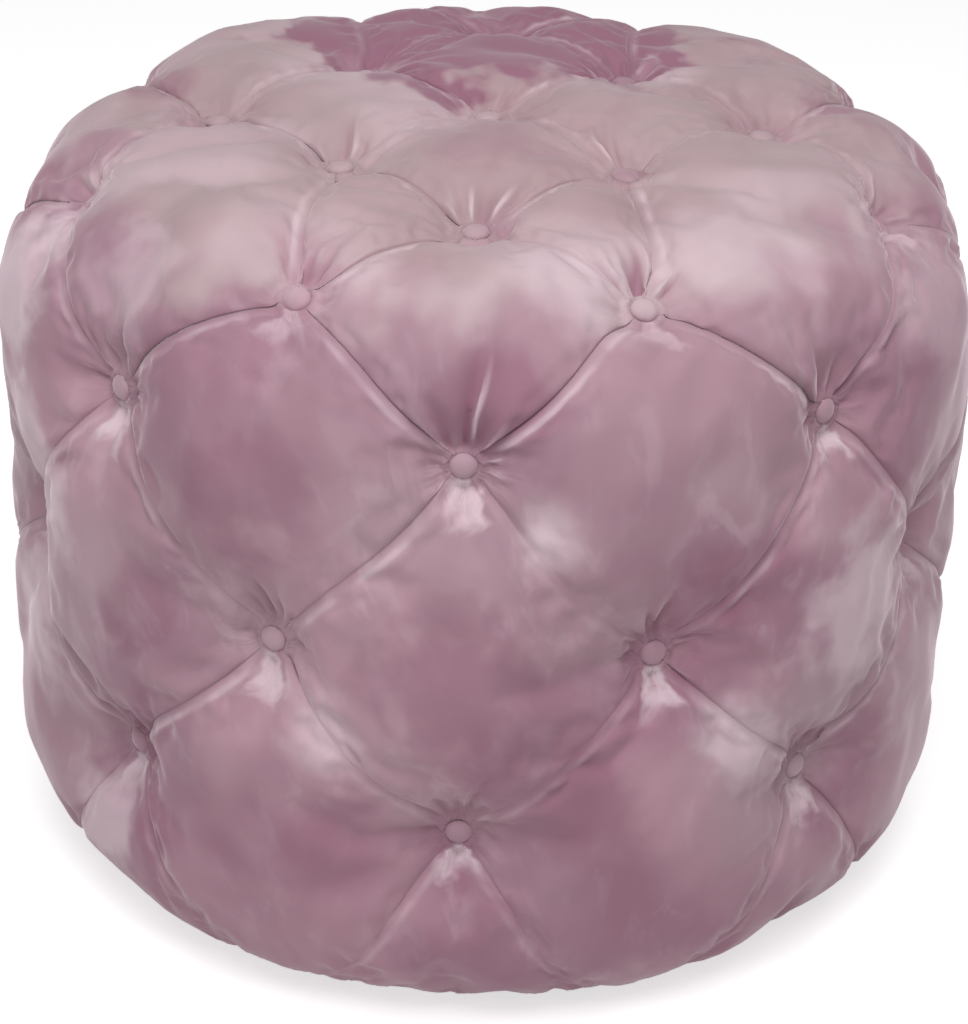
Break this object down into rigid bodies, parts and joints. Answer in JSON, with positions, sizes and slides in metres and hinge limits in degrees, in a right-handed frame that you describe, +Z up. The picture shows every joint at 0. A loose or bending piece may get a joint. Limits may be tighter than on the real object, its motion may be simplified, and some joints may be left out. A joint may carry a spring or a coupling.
{
  "type": "tuffet",
  "caption": "Round low stool, deep buttoned in velvet over its top and side, padded with foam on a hollow wooden drum that stands on low glides",
  "frame": {"origin": "On the floor, on the drum's upright axis, midway between the glides.", "axes": "+Z up along the drum's axis; -Y faces the viewer of the picture; +X to the viewer's right."},
  "size_m": [0.556, 0.556, 0.4482],
  "materials": {
    "velvet": "crushed velvet with a pale sheen",
    "button_velvet": "the cover's velvet, drawn over a button",
    "foam": "open-cell foam",
    "plywood": "raw plywood",
    "hardboard": "raw hardboard",
    "pine": "sawn softwood",
    "lining": "matt non-woven lining",
    "glide": "matt moulded plastic"
  },
  "bodies": {
    "root": {"base_board": "plywood", "top_board": "plywood", "drum_wall": "hardboard", "post_1": "pine", "post_2": "pine", "post_3": "pine", "post_4": "pine", "side_foam": "foam", "top_foam": "foam", "cover_top": "velvet", "cover_side_front": "velvet", "cover_side_back": "velvet", "dust_cover": "lining", "glide_1": "glide", "glide_2": "glide", "glide_3": "glide", "glide_4": "glide", "button_top_centre": "button_velvet", "button_top_1": "button_velvet", "button_top_2": "button_velvet", "button_top_3": "button_velvet", "button_top_4": "button_velvet", "button_top_5": "button_velvet", "button_top_6": "button_velvet", "button_top_7": "button_velvet", "button_top_8": "button_velvet", "button_rim_1": "button_velvet", "button_rim_2": "button_velvet", "button_rim_3": "button_velvet", "button_rim_4": "button_velvet", "button_rim_5": "button_velvet", "button_rim_6": "button_velvet", "button_rim_7": "button_velvet", "button_rim_8": "button_velvet", "button_upper_1": "button_velvet", "button_upper_2": "button_velvet", "button_upper_3": "button_velvet", "button_upper_4": "button_velvet", "button_upper_5": "button_velvet", "button_upper_6": "button_velvet", "button_upper_7": "button_velvet", "button_upper_8": "button_velvet", "button_middle_1": "button_velvet", "button_middle_2": "button_velvet", "button_middle_3": "button_velvet", "button_middle_4": "button_velvet", "button_middle_5": "button_velvet", "button_middle_6": "button_velvet", "button_middle_7": "button_velvet", "button_middle_8": "button_velvet", "button_lower_1": "button_velvet", "button_lower_2": "button_velvet", "button_lower_3": "button_velvet", "button_lower_4": "button_velvet", "button_lower_5": "button_velvet", "button_lower_6": "button_velvet", "button_lower_7": "button_velvet", "button_lower_8": "button_velvet"}
  },
  "joints": []
}
